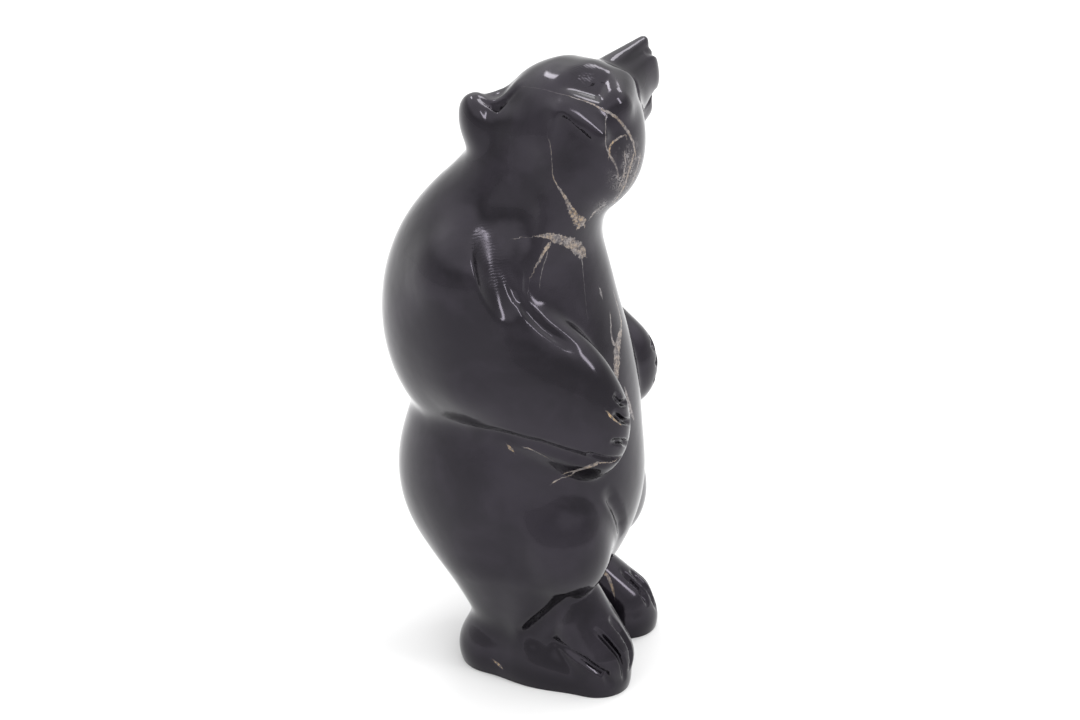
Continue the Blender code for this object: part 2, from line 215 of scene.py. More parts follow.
# Veins: gold from 0, grey-white, to 1, golden. Each point is (x, y, z, width) on the grid.
# Veins that meet or cross lie on different layers.
Vein = namedtuple("Vein", "name layer gold path")
VEINS = (
    Vein("crack across the crown", 0, 0.4, (
        (-8, -2.5, 239.5, 0.1), (-12, -10.5, 241, 0.15), (-14.5, -17.5, 241, 0.2), (-15, -22, 240, 0.35),
        (-13.5, -26, 238.5, 0.55), (-12, -31, 237, 0.8), (-11.5, -34, 235.5, 1.1), (-10.5, -36.5, 234.5, 1),
        (-8.5, -39.5, 231.5, 0.9), (-6.5, -41.5, 227.5, 1.5), (-4.5, -43, 223.5, 1.4), (-3.5, -44, 219, 1.0),
        (-2.5, -44.5, 214, 0.5))),
    Vein("branch on the cheek", 1, 0.2, (
        (-11.5, -35.5, 234.5, 0.5), (-14.5, -36.5, 231, 0.4), (-17.5, -37.5, 228.5, 0.4),
        (-18, -38.5, 224, 0.5), (-14.5, -38.5, 218.5, 1.1), (-12.5, -39.5, 215.5, 0.8),
        (-11.5, -40, 212.5, 0.5), (-11, -40, 209, 0.5), (-10, -39, 205, 0.3))),
    Vein("hook on the cheek", 0, 0.8, (
        (-8, -41.5, 225.5, 0.4), (-10, -40.5, 225.5, 0.8), (-13.5, -39.5, 224.5, 1.0), (-15.5, -39, 223, 0.9),
        (-15.5, -38.5, 219, 0.8))),
    Vein("streak on the front of the cheek", 2, 0.4, (
        (-3, -44, 219, 0.5), (-6, -43.5, 213.5, 1.5), (-6.5, -42, 208, 1.3), (-6, -39.5, 201.5, 1.5),
        (-5.5, -36.5, 197.5, 0.6))),
    Vein("short streak on the cheek", 2, 0.2, (
        (-9, -41.6, 220, 0.4), (-8.6, -42.4, 214.5, 0.8), (-9, -41.6, 209.5, 1.0),
        (-9.5, -39.8, 203.5, 0.4))),
    Vein("streak below the muzzle", 1, 0.3, (
        (1, -44.5, 216, 0.6), (-1, -44, 209, 1.6), (-1.5, -42, 203, 1.2), (-2, -38, 197.5, 0.5))),
    Vein("side of the neck", 0, 0.6, (
        (-21.5, -16.5, 226.5, 0.25), (-20.5, -17, 222.5, 0.3), (-19.5, -18, 216.5, 0.3),
        (-19.5, -18.5, 211.5, 0.4), (-19.5, -21, 207, 0.9), (-19.5, -23, 201.5, 1.6),
        (-16.5, -24.5, 195.5, 3.4), (-13, -26, 191, 5.5))),
    Vein("jaw", 1, 0.2, (
        (-10.5, -28.5, 193.5, 1.5), (-10.5, -31, 196, 1.2), (-10, -33.5, 198, 0.9), (-9, -35, 198.5, 0.4))),
    Vein("chest", 1, 0.35, (
        (-28.5, -4.5, 188, 0.3), (-26, -9.5, 188.3, 0.6), (-26, -13.5, 189, 0.9), (-25, -15.5, 189.2, 1.5),
        (-23.5, -17.5, 188.6, 2.8), (-21.5, -19.5, 187.4, 3.8), (-19, -22, 185.6, 4.2), (-17, -24, 184, 4.4),
        (-14.5, -26, 181, 5.2), (-12.5, -28, 177.8, 4.2))),
    Vein("first branch on the chest", 0, 0.4, (
        (-23.5, -17.5, 186, 2.2), (-25.5, -16, 183, 1.3), (-28, -14.5, 179, 0.9), (-29.5, -13, 176, 0.6),
        (-31, -12, 172.5, 0.4), (-33, -12.5, 168, 0.25))),
    Vein("second branch on the chest", 2, 0.2, (
        (-24.5, -17, 182.5, 0.4), (-26, -16.5, 179, 0.35), (-28, -16, 174.5, 0.3), (-29, -15.5, 169.5, 0.2))),
    Vein("thread down the chest", 2, 0, (
        (-13.5, -27.5, 178, 0.5), (-15, -29, 172, 0.3), (-16.5, -30, 165, 0.15), (-18, -31.5, 154, 0.1))),
    Vein("left prong on the belly", 1, 0.1, (
        (-6.5, -37, 154, 0.4), (-7.5, -37.5, 150, 0.7), (-9.5, -38, 146, 0.8), (-9.5, -39, 141, 1.5))),
    Vein("belly", 0, 0.25, (
        (1, -36.5, 159.5, 0.3), (1.5, -37.5, 154, 0.7), (1, -39, 148, 1.1), (-1, -40, 145, 1.6),
        (-5, -40, 142.5, 3.0), (-8.5, -40, 139.5, 4.2), (-10, -40.5, 136, 4.0), (-11.5, -41, 132.5, 3.4),
        (-14, -42, 128, 2.2), (-16, -43, 123, 0.8))),
    Vein("fleck on the belly", 2, 0, ((-9, -34, 164, 0.4), (-9, -34.5, 162, 1.6), (-9, -35, 159.5, 0.4))),
    Vein("spot on the hip", 2, 0.9, (
        (-40, -6.5, 108.5, 0.4), (-40, -7.5, 107, 2.0), (-39.5, -9, 105.5, 0.5))),
    Vein("line of the hip", 0, 0.6, (
        (-41, -13, 108.5, 0.3), (-41, -15, 108.5, 0.9), (-41, -17.5, 107.5, 0.4), (-40, -21.5, 105.5, 0.35),
        (-39, -25, 103.5, 0.2))),
    Vein("across the lowest finger", 1, 0.5, (
        (-35.5, -26.5, 96, 0.3), (-36.5, -30.5, 99, 0.8), (-37, -32, 99.5, 1.3), (-37.5, -35, 101, 1.6),
        (-37.5, -38.5, 103, 1.7), (-37, -42, 104.5, 1.7), (-33, -45.5, 104, 1.3), (-29.5, -48, 104, 0.5))),
    Vein("below the lowest finger", 0, 0.4, (
        (-37, -23.5, 93, 0.9), (-36, -25.5, 94.5, 0.4), (-34, -29.5, 95.5, 0.5), (-37, -32.5, 99.5, 0.8))),
    Vein("beside the second finger", 2, 0.9, (
        (-37.5, -44.5, 127, 0.4), (-36, -46, 124, 1.3), (-33, -48.5, 120, 0.4))),
    Vein("between the paws", 0, 0.1, ((-9, -43, 124, 0.4), (-8, -45, 116, 3.0), (-4.5, -46.5, 108, 0.5))),
    Vein("stain at the right foot", 1, 1, ((-37.5, 3, 8, 0.4), (-37.5, 1, 6.5, 1.6), (-38, -1, 5, 0.8))),
    Vein("below the belly", 1, 0.9, ((-1, -45, 58, 0.4), (-3, -42, 52.5, 2.0), (-4, -38, 47, 0.5))),
    Vein("inner side of the left leg", 1, 0.7, (
        (10, -30, 34, 0.6), (13, -32, 28.5, 1.6), (12, -34, 23.5, 1.4), (10.5, -35.5, 18.5, 0.6))),
    Vein("across the back", 0, 0.4, (
        (-14, 52, 158, 0.3), (-4, 56, 153, 0.8), (7, 56, 150, 1.6), (16, 53, 144, 2.2), (25, 47, 136, 1.2),
        (33, 40, 131, 0.8), (40, 30, 128, 0.4))),
    Vein("branch on the back", 1, 0.6, (
        (9, 56, 149, 1.6), (10, 55, 138, 1.0), (7, 53, 126, 0.7), (9, 51, 113, 0.4), (6, 50, 104, 0.25))),
    Vein("left hip", 1, 0.3, (
        (44, 12, 96, 0.3), (45, 4, 90, 0.9), (45, -5, 87, 1.5), (43, -14, 80, 0.9), (41, -22, 70, 0.4))),
    Vein("left side", 0, 0.5, (
        (46, 18, 168, 0.3), (46, 10, 160, 0.7), (45, 2, 154, 1.3), (43, -7, 151, 0.7), (41, -14, 145, 0.3))),
    Vein("low on the back", 2, 0.2, (
        (-20, 47, 90, 0.3), (-10, 50, 82, 0.9), (2, 50, 78, 1.4), (12, 47, 70, 0.7), (18, 41, 60, 0.3))),
)
LAYERS = 3
VEIN_REACH = 6.0           # how far from a vein its distance is kept, in grid units
VEIN_TIP = 0.3             # share of its width that a vein keeps past its ends
STEP_ALONG_VEIN = 1.2

# The stone's finish. Depths are in metres, and the veins' edges wander by millimetres.
STONE_IOR = 1.43
STONE_GLINT = (0.92, 0.85, 1, 1)
VEIN_WANDER = 0.8
VEIN_DEPTH = 0.04 * MM
VEIN_DULLNESS = 0.2
POLISHING_WAVE_DEPTH = 0.28 * MM
SANDING_DEPTH = 0.03 * MM
SANDING_DULLNESS = 0.12

# Round patches of the skin: centre on the grid, radius of the full finish, radius where it ends
CRACKLED_CHEEK = (((-5, -43, 212), 5, 13), ((-7, -35, 198), 3, 8))
SANDED_SHOULDER = (((-33, 5, 187), 4, 9), ((-36, 0, 177), 4, 9))
SANDED_TEMPLE = (((-1.5, -24, 247.5), 3, 8),)

# The camera looks at a point over the middle of the underside
CAMERA_AZIMUTH = -72
CAMERA_ELEVATION = 25
CAMERA_DISTANCE = 1000 * UNIT
CAMERA_TARGET = Vector((0, 0, 120)) * UNIT
CAMERA_LENS = 85
SENSOR_WIDTH = 36
PICTURE_WIDTH = 1080
PICTURE_SHIFT = (16, 12)   # in pixels of the picture

# Lamps: direction from the bear as azimuth and elevation, width, height and brightness
Lamp = namedtuple("Lamp", "name azimuth elevation width height brightness")
LAMPS = (
    Lamp("front box", -14, 42, 0.16, 0.60, 12),
    Lamp("far box", 65, 50, 0.30, 0.30, 7),
    Lamp("back box", 142, 60, 0.14, 0.26, 12),
)
LAMP_TARGET = Vector((0, 0, 0.13))
LAMP_DISTANCE = 1.2
FLOOR_SIZE = 8
FLOOR_GAP = 0.1 * MM


def turned(degrees):
    """Rotation matrix of turns about X, then Y, then Z."""
    (ca, cb, cc), (sa, sb, sc) = np.cos(np.radians(degrees)), np.sin(np.radians(degrees))
    about_x = np.array(((1, 0, 0), (0, ca, -sa), (0, sa, ca)))
    about_y = np.array(((cb, 0, sb), (0, 1, 0), (-sb, 0, cb)))
    about_z = np.array(((cc, -sc, 0), (sc, cc, 0), (0, 0, 1)))
    return about_z @ about_y @ about_x


HEAD_FRAME = turned((0, 0, HEAD_YAW)) @ turned((-HEAD_PITCH, 0, 0)) @ turned((0, HEAD_ROLL, 0))


def to_head(points):
    return (points - np.array(HEAD_CENTRE)) @ HEAD_FRAME


def from_head(points):
    return points @ HEAD_FRAME.T + np.array(HEAD_CENTRE)


def distance_to_egg(egg, points):
    local = (points - np.array(egg.centre)) @ turned(egg.turn)
    sizes = np.array(egg.half_sizes)
    share = np.linalg.norm(local / sizes, axis=1)
    slope = np.linalg.norm(local / sizes**2, axis=1) + TINY
    return share * (share - 1) / slope


def distance_to_limb(limb, points):
    start, end = np.array(limb.start), np.array(limb.end)
    length = np.linalg.norm(end - start)
    axis = (end - start) / length
    along = (points - start) @ axis
    aside = np.linalg.norm(points - start - along[:, None] * axis, axis=1)
    taper = (limb.start_radius - limb.end_radius) / length
    seat = np.clip(along - aside * taper / np.sqrt(1 - taper**2), 0, length)
    return np.hypot(aside, along - seat) - limb.start_radius + taper * seat


def distance_to_notch(notch, points):
    """Distance to the corner between three planes, as far as the notch reaches."""
    corner = np.array(notch.bottom, float)
    edges = np.array(notch.rim, float) - corner
    away = np.linalg.norm(points - corner, axis=1) - notch.reach
    for number in range(3):
        wall = np.cross(edges[number], edges[number - 1])
        wall *= -np.sign(wall @ edges[number - 2]) / np.linalg.norm(wall)
        away = -joined(-away, -((points - corner) @ wall), notch.softness)
    return away


DISTANCE_TO = {Egg: distance_to_egg, Limb: distance_to_limb, Notch: distance_to_notch}


def distance(mass, points):
    """How far each point lies outside a mass. Inside, the distance is negative."""
    return DISTANCE_TO[type(mass)](mass, points)


def joined(one, other, blend):
    """Distance to two forms joined with a fillet."""
    near = np.maximum(blend - np.abs(one - other), 0) / blend
    return np.minimum(one, other) - near**3 * blend / 6


def sides(mass, points):
    """The points, and for a pair their mirror image too."""
    return (points, points * MIRROR) if mass.pair else (points,)


def add(masses, points, form=None):
    """A form with masses joined to it."""
    for mass in masses:
        for side in sides(mass, points):
            away = distance(mass, side)
            form = away if form is None else joined(form, away, mass.blend)
    return form


def cut(masses, points, form):
    """A form with hollows cut from it."""
    for mass in masses:
        for side in sides(mass, points):
            form = -joined(-form, distance(mass, side), mass.blend)
    return form


def smooth_form(points, notches=HEAD_NOTCHES):
    """Distance to the bear's surface before its grooves are cut."""
    head_points = to_head(points)
    form = joined(add(BODY, points), add(SHOULDERS_AND_FORELEGS, points), SHOULDER_BLEND)
    head = joined(add(NECK, points), add(HEAD, head_points), HEAD_BLEND)
    head = cut(notches, head_points, head)
    form = joined(form, head, NECK_BLEND)
    form = cut(BODY_HOLLOWS, points, form)
    return cut(HEAD_HOLLOWS, head_points, form)


def form_without_notches(points):
    return smooth_form(points, notches=())


def drawn_onto(form, points, passes=PASSES):
    """Points moved along the slope of a form until they lie on its surface."""
    feelers = FEELER * np.array(((1, -1, -1), (-1, -1, 1), (-1, 1, -1), (1, 1, 1)))
    for _ in range(passes):
        felt = [form(points + feeler) for feeler in feelers]
        slope = sum(value[:, None] * feeler for value, feeler in zip(felt, feelers)) / (4 * FEELER**2)
        steepness = np.maximum((slope**2).sum(axis=1), FLATTEST_SLOPE)
        move = slope * (np.mean(felt, axis=0) / steepness)[:, None]
        length = np.linalg.norm(move, axis=1, keepdims=True)
        points = points - move * np.minimum(1, LONGEST_MOVE / np.maximum(length, TINY))
    return points


def in_steps(path, step):
    """A path's points with more between them, none further apart than a step."""
    points = [path[:1]]
    for start, end in zip(path, path[1:]):
        steps = max(1, round(np.linalg.norm((end - start)[:3]) / step))
        points.append(start + (end - start) * np.arange(1, steps + 1)[:, None] / steps)
    return np.concatenate(points)


def rounded_corners(path, rounds=2):
    """A path with its corners cut, its ends kept."""
    for _ in range(rounds):
        quarter = path[:-1] * 0.75 + path[1:] * 0.25
        three_quarters = path[:-1] * 0.25 + path[1:] * 0.75
        middle = np.stack((quarter, three_quarters), axis=1).reshape(-1, path.shape[1])
        path = np.concatenate((path[:1], middle, path[-1:]))
    return path


def around(path, points, reach):
    """Whether each point lies in the box round a path, a reach larger on every side."""
    return ((points > path.min(axis=0) - reach) & (points < path.max(axis=0) + reach)).all(axis=1)


def nearest_on_path(path, points, reach):
    """For each point its squared distance to a path, the offset to it, the direction there
    and the share of the path's length."""
    close = np.full(len(points), reach**2)
    share = np.zeros(len(points))
    offset = np.zeros_like(points)
    direction = np.zeros_like(points)
    for number, (start, end) in enumerate(zip(path, path[1:])):
        step = end - start
        along = np.clip((points - start) @ step / (step @ step), 0, 1)
        away = points - start - along[:, None] * step
        gap = (away**2).sum(axis=1)
        nearer = gap < close
        share[nearer] = (number + along[nearer]) / (len(path) - 1)
        offset[nearer] = away[nearer]
        direction[nearer] = step
        close = np.minimum(close, gap)
    return close, offset, direction, share


def laid_grooves():
    """Every groove as (path on the surface, half width, depth), its mirror image after it."""
    laid = []
    for groove in BODY_GROOVES + HEAD_GROOVES:
        for path in sides(groove, np.array(groove.path, float)):
            place = from_head(path) if groove in HEAD_GROOVES else path
            line = drawn_onto(smooth_form, in_steps(place, STEP_ALONG_GROOVE))
            laid.append((line, groove.half_width, groove.depth))
    return laid


def depth_of_groove(groove, points):
    """How deep a groove cuts at each point: deepest on its path, running out at its ends."""
    path, half_width, depth = groove
    close, _, _, share = nearest_on_path(path, points, half_width)
    run_out = np.clip(np.minimum(share, 1 - share) / GROOVE_END, 0, 1)
    return depth * run_out * (1 - close / half_width**2) ** 2


def ready(obj):
    """Makes obj the only selected and the active object."""
    bpy.ops.object.select_all(action="DESELECT")
    obj.select_set(True)
    bpy.context.view_layer.objects.active = obj


def with_modifier(obj, kind, **settings):
    """Adds one modifier and applies it."""
    modifier = obj.modifiers.new(kind.title(), kind)
    for name, value in settings.items():
        setattr(modifier, name, value)
    ready(obj)
    bpy.ops.object.modifier_apply(modifier=modifier.name)


def places_of(mesh, unit=1):
    """The places of a mesh's points, in units."""
    count = len(mesh.vertices)
    places = np.empty(count * 3, np.float32)
    mesh.vertices.foreach_get("co", places)
    return places.reshape(count, 3).astype(float) / unit


def put_at(mesh, places, unit=1):
    """Moves a mesh's points to places in units."""
    mesh.vertices.foreach_set("co", (places * unit).astype(np.float32).ravel())
    mesh.update()


def normals_of(mesh):
    normals = np.empty(len(mesh.vertices) * 3, np.float32)
    mesh.vertices.foreach_get("normal", normals)
    return normals.reshape(-1, 3)


def head_place(unit):
    """Where the head's own grid lies, as a matrix."""
    turn = Matrix(HEAD_FRAME.tolist()).to_4x4()
    return Matrix.Scale(unit, 4) @ Matrix.Translation(HEAD_CENTRE) @ turn


def add_ball(place, half_sizes):
    bpy.ops.mesh.primitive_uv_sphere_add(segments=32, ring_count=16, radius=1)
    ball = bpy.context.object
    ball.matrix_world = place @ Matrix.Diagonal((*half_sizes, 1))
    return [ball]


def add_egg(egg, place):
    turn = Matrix(turned(egg.turn).tolist()).to_4x4()
    return add_ball(place @ Matrix.Translation(egg.centre) @ turn, egg.half_sizes)


def add_limb(limb, place):
    """A tapered bar between two balls."""
    start, end = Vector(limb.start), Vector(limb.end)
    upright = (end - start).to_track_quat("Z", "Y").to_matrix().to_4x4()
    bpy.ops.mesh.primitive_cone_add(
        vertices=32, radius1=limb.start_radius, radius2=limb.end_radius, depth=(end - start).length)
    bar = bpy.context.object
    bar.matrix_world = place @ Matrix.Translation((start + end) / 2) @ upright
    balls = [
        add_ball(place @ Matrix.Translation(centre), (radius,) * 3)[0]
        for centre, radius in ((start, limb.start_radius), (end, limb.end_radius))
    ]
    return [bar, *balls]


def rough_out(unit):
    """The masses as balls and bars, each where it belongs, joined in one object."""
    body = Matrix.Scale(unit, 4)
    mirror = Matrix.Diagonal((*MIRROR, 1))
    masses = []
    for place, group in ((body, BODY + SHOULDERS_AND_FORELEGS + NECK), (head_place(unit), HEAD)):
        for mass in group:
            for side in (place, place @ mirror) if mass.pair else (place,):
                masses += (add_egg if isinstance(mass, Egg) else add_limb)(mass, side)
    bpy.context.view_layer.update()
    ready(masses[0])
    for mass in masses:
        mass.select_set(True)
    bpy.ops.object.join()
    bpy.ops.object.transform_apply(location=True, rotation=True, scale=True)
    return bpy.context.object


def cut_notches(bear, unit):
    """Cuts each notch from the bear with a wedge of its three walls."""
    for notch in HEAD_NOTCHES:
        bottom = Vector(notch.bottom)
        bpy.ops.mesh.primitive_cone_add(vertices=3, radius1=1, radius2=0, depth=1)
        wedge = bpy.context.object
        *rim, tip = sorted(wedge.data.vertices, key=lambda vertex: vertex.co.z)
        tip.co = bottom
        for vertex, place in zip(rim, notch.rim):
            vertex.co = bottom + (Vector(place) - bottom).normalized() * notch.reach
        wedge.matrix_world = head_place(unit)
        ready(wedge)
        bpy.ops.object.transform_apply(location=True, rotation=True, scale=True)
        bpy.ops.object.mode_set(mode="EDIT")
        bpy.ops.mesh.select_all(action="SELECT")
        bpy.ops.mesh.normals_make_consistent(inside=False)
        bpy.ops.object.mode_set(mode="OBJECT")
        with_modifier(bear, "BOOLEAN", operation="DIFFERENCE", solver="EXACT", object=wedge)
        bpy.data.objects.remove(wedge)


def draw_skin(bear, form, unit, passes=PASSES):
    """Moves the skin's points onto the form."""
    put_at(bear.data, drawn_onto(form, places_of(bear.data, unit), passes), unit)


def split_faces_at_grooves(bear, grooves, unit):
    """Splits the faces along the narrow grooves, so that their edges come out crisp."""
    places = places_of(bear.data, unit)
    near = np.zeros(len(places), bool)
    for path, half_width, _ in grooves:
        if half_width <= WIDEST_FINE_GROOVE:
            reach = half_width + 1
            inside = around(path, places, reach)
            near[inside] |= nearest_on_path(path, places[inside], reach)[0] < reach**2
    ready(bear)
    bpy.ops.object.mode_set(mode="EDIT")
    bpy.ops.mesh.select_mode(type="VERT")
    bpy.ops.mesh.select_all(action="DESELECT")
    bpy.ops.object.mode_set(mode="OBJECT")
    bear.data.vertices.foreach_set("select", near)
    bpy.ops.object.mode_set(mode="EDIT")
    bpy.ops.mesh.subdivide(number_cuts=1)
    bpy.ops.object.mode_set(mode="OBJECT")


def press_in_grooves(bear, grooves, unit):
    """Moves the skin's points inwards along the grooves."""
    places = places_of(bear.data, unit)
    normals = normals_of(bear.data)
    for groove in grooves:
        path, half_width, _ = groove
        inside = around(path, places, half_width)
        places[inside] -= normals[inside] * depth_of_groove(groove, places[inside])[:, None]
    put_at(bear.data, places, unit)


def cut_flat_underside(bear):
    """Cuts the figure off at z = 0 and closes it with a flat face."""
    ready(bear)
    bpy.ops.object.mode_set(mode="EDIT")
    bpy.ops.mesh.select_all(action="SELECT")
    bpy.ops.mesh.bisect(
        plane_co=(0, 0, 0), plane_no=(0, 0, 1), use_fill=True, clear_inner=True, threshold=0.02 * MM)
    bpy.ops.mesh.select_all(action="SELECT")
    bpy.ops.mesh.quads_convert_to_tris(ngon_method="BEAUTY")
    bpy.ops.mesh.select_all(action="SELECT")
    bpy.ops.mesh.normals_make_consistent(inside=False)
    bpy.ops.object.mode_set(mode="OBJECT")


def keep_within(bear, low, high):
    """Presses the points that stand a hair proud of a box back onto its faces."""
    put_at(bear.data, np.clip(places_of(bear.data), low, high))


def lay_veins(bear, unit):
    """Keeps on the skin, for each layer of veins, the distance across the nearest vein with
    its side as sign, half the vein's width, and the plain distance, all in millimetres, and
    how golden the vein is."""
    mesh = bear.data
    places = places_of(mesh, unit)
    normals = normals_of(mesh)
    for layer in range(LAYERS):
        across, away = np.full((2, len(places)), VEIN_REACH)
        half, gold = np.zeros((2, len(places)))
        for vein in VEINS:
            if vein.layer != layer:
                continue
            path = in_steps(rounded_corners(np.array(vein.path, float)), STEP_ALONG_VEIN)
            line = drawn_onto(smooth_form, path[:, :3])
            near = np.flatnonzero(around(line, places, VEIN_REACH))
            close, offset, direction, share = nearest_on_path(line, places[near], VEIN_REACH)
            gap = np.sqrt(close)
            width = np.interp(share, np.linspace(0, 1, len(path)), path[:, 3]) / 2
            width[(share <= 0) | (share >= 1)] *= VEIN_TIP
            side = np.sign((np.cross(direction, normals[near]) * offset).sum(axis=1))
            won = gap - width < away[near] - half[near]
            hit = near[won]
            across[hit], half[hit], away[hit] = (side * gap)[won], width[won], gap[won]
            gold[hit] = vein.gold
        kept = np.stack((across, half, away), axis=1) * (unit / MM)
        for name, kind, field, values in (
            (f"vein_{layer}", "FLOAT_VECTOR", "vector", kept),
            (f"gold_{layer}", "FLOAT", "value", gold),
        ):
            attribute = mesh.attributes.new(name, kind, "POINT")
            attribute.data.foreach_set(field, values.astype(np.float32).ravel())


class Nodes:
    """Short ways to add and link the nodes of one tree, for a figure of the given unit."""

    def __init__(self, tree, unit=UNIT):
        self.tree = tree
        self.unit = unit

    def add(self, kind, inputs=None, **settings):
        node = self.tree.nodes.new(kind)
        for name, value in settings.items():
            setattr(node, name, value)
        for name, value in (inputs or {}).items():
            self.put(node.inputs[name], value)
        return node

    def put(self, socket, value):
        if isinstance(value, bpy.types.NodeSocket):
            self.tree.links.new(value, socket)
        else:
            socket.default_value = value

    def math(self, operation, *values):
        return self.add("ShaderNodeMath", dict(enumerate(values)), operation=operation).outputs[0]

    def highest(self, *values):
        return functools.reduce(functools.partial(self.math, "MAXIMUM"), values)

    def ramp(self, value, low, high, to_low=0.0, to_high=1.0, kind="SMOOTHSTEP"):
        """value from low to high, as to_low to to_high."""
        return self.add("ShaderNodeMapRange", {
            "Value": value, "From Min": low, "From Max": high, "To Min": to_low, "To Max": to_high,
        }, interpolation_type=kind, clamp=True).outputs["Result"]

    def mix(self, share, one, other):
        """Colour mix."""
        node = self.add("ShaderNodeMix", data_type="RGBA")
        for socket, value in ((node.inputs[0], share), (node.inputs[6], one), (node.inputs[7], other)):
            self.put(socket, value)
        return node.outputs[2]

    def noise(self, where, scale, detail=2.0, roughness=0.5, distortion=0.0, output="Fac"):
        return self.add("ShaderNodeTexNoise", {
            "Vector": where, "Scale": scale, "Detail": detail, "Roughness": roughness,
            "Distortion": distortion,
        }).outputs[output]

    def patches(self, where, patches):
        """1 inside round patches of the skin, running out to 0."""
        shares = []
        for centre, full, end in patches:
            away = self.add(
                "ShaderNodeVectorMath", {0: where, 1: Vector(centre) * self.unit}, operation="DISTANCE")
            shares.append(self.ramp(away.outputs["Value"], full * self.unit, end * self.unit, 1.0, 0.0))
        return self.highest(*shares)


def calcite_veins(n, where):
    """How much calcite shows, and how much golden calcite, from the distances on the skin."""
    wander = n.math("MULTIPLY", n.math("SUBTRACT", n.noise(where, 420), 0.5), VEIN_WANDER)
    ragged = n.ramp(n.noise(where, 900, 3, 0.65), 0.3, 0.7, 0.6, 1.3, kind="LINEAR")
    masks, tints = [], []
    for layer in range(LAYERS):
        kept = n.add("ShaderNodeAttribute", attribute_name=f"vein_{layer}").outputs["Vector"]
        gold = n.add("ShaderNodeAttribute", attribute_name=f"gold_{layer}").outputs["Fac"]
        across, half, away = n.add("ShaderNodeSeparateXYZ", {"Vector": kept}).outputs
        line = n.math("ABSOLUTE", n.math("ADD", across, wander))
        inside = n.ramp(n.math("SUBTRACT", n.math("MULTIPLY", half, ragged), line), -0.12, 0.2)
        # the wander leaves no stray flecks away from the vein
        beside = n.ramp(n.math("SUBTRACT", away, half), 1.5, 1.8, 1.0, 0.0)
        mask = n.math("MULTIPLY", inside, beside)
        mask = n.math("MULTIPLY", mask, n.ramp(half, 0.0, 0.3, 0.25, 1.0))
        masks.append(mask)
        tints.append(n.math("MULTIPLY", mask, gold))
    # dark grains show through the calcite
    grains = n.ramp(n.noise(where, 620, 4, 0.7), 0.36, 0.56, 0.35, 1.0)
    return n.math("MULTIPLY", n.highest(*masks), grains), n.highest(*tints)


def cheek_crackle(n, where):
    """Fine broken cracks on the front of the right cheek."""
    warp = n.noise(where, 130, output="Color")
    bent = n.add("ShaderNodeVectorMath", {0: where, 1: warp, 2: (0.006,) * 3}, operation="MULTIPLY_ADD")
    cells = n.add(
        "ShaderNodeTexVoronoi", {"Vector": bent.outputs[0], "Scale": 230.0}, feature="DISTANCE_TO_EDGE")
    cracks = n.ramp(cells.outputs["Distance"], 0.02, 0.11, 1.0, 0.0)
    cracks = n.math("MULTIPLY", cracks, n.patches(where, CRACKLED_CHEEK))
    return n.math("MULTIPLY", cracks, n.ramp(n.noise(where, 160), 0.38, 0.52))


def stone_colour(n, where, veined, golden, settings):
    """Dark stone with paler clouds, and mottled calcite where it is veined."""
    stone, clouds, calcite, grains, gold = (
        (*colour, 1) for colour in (
            settings.stone, settings.stone_clouds, settings.calcite, settings.calcite_shade, settings.gold))
    dark = n.mix(n.ramp(n.noise(where, 34, 5, 0.6, 0.4), 0.4, 0.66), stone, clouds)
    tint = n.math("MULTIPLY", golden, n.ramp(n.noise(where, 260, 3), 0.35, 0.6, 0.35, 1.3))
    pale = n.mix(n.math("MINIMUM", tint, 1.0), calcite, gold)
    pale = n.mix(n.ramp(n.noise(where, 1100, 4, 0.7), 0.42, 0.62), pale, grains)
    return n.mix(veined, dark, pale)


def sanding_marks(n, where, sanded, across):
    """Height of the fine lines that sanding left, side by side along one axis."""
    lines = n.add("ShaderNodeTexWave", {
        "Vector": where, "Scale": 310.0, "Distortion": 5.0, "Detail": 3.0, "Detail Scale": 1.5,
    }, bands_direction=across)
    return n.math("MULTIPLY", lines.outputs["Fac"], n.math("MULTIPLY", sanded, SANDING_DEPTH))


def septarian_stone(settings, unit):
    """Polished black-violet stone with calcite veins."""
    material = bpy.data.materials.new("septarian_stone")
    material.use_nodes = True
    n = Nodes(material.node_tree, unit)
    shader = material.node_tree.nodes["Principled BSDF"]
    shader.inputs["IOR"].default_value = STONE_IOR
    shader.inputs["Specular Tint"].default_value = STONE_GLINT

    where = n.add("ShaderNodeTexCoord").outputs["Object"]
    veined, golden = calcite_veins(n, where)
    veined = n.highest(veined, cheek_crackle(n, where))
    n.put(shader.inputs["Base Color"], stone_colour(n, where, veined, golden, settings))

    worn = n.ramp(n.noise(where, 190), 0.35, 0.6, 0.3, 1.0)
    shoulder = n.math("MULTIPLY", n.patches(where, SANDED_SHOULDER), worn)
    temple = n.patches(where, SANDED_TEMPLE)
    dullness = n.ramp(
        n.noise(where, 55, 3, 0.6), 0.3, 0.7, settings.roughness - 0.03, settings.roughness + 0.05)
    dullness = n.math("ADD", dullness, n.math("MULTIPLY", shoulder, SANDING_DULLNESS))
    dullness = n.math("ADD", dullness, n.math("MULTIPLY", veined, VEIN_DULLNESS))
    n.put(shader.inputs["Roughness"], dullness)

    height = n.math("ADD", sanding_marks(n, where, shoulder, "Z"), sanding_marks(n, where, temple, "X"))
    height = n.math("ADD", height, n.math("MULTIPLY", n.noise(where, 60), POLISHING_WAVE_DEPTH))
    height = n.math("SUBTRACT", height, n.math("MULTIPLY", veined, VEIN_DEPTH))
    bump = n.add("ShaderNodeBump", {"Strength": 1.0, "Distance": 1.0, "Height": height})
    n.put(shader.inputs["Normal"], bump.outputs["Normal"])
    return material


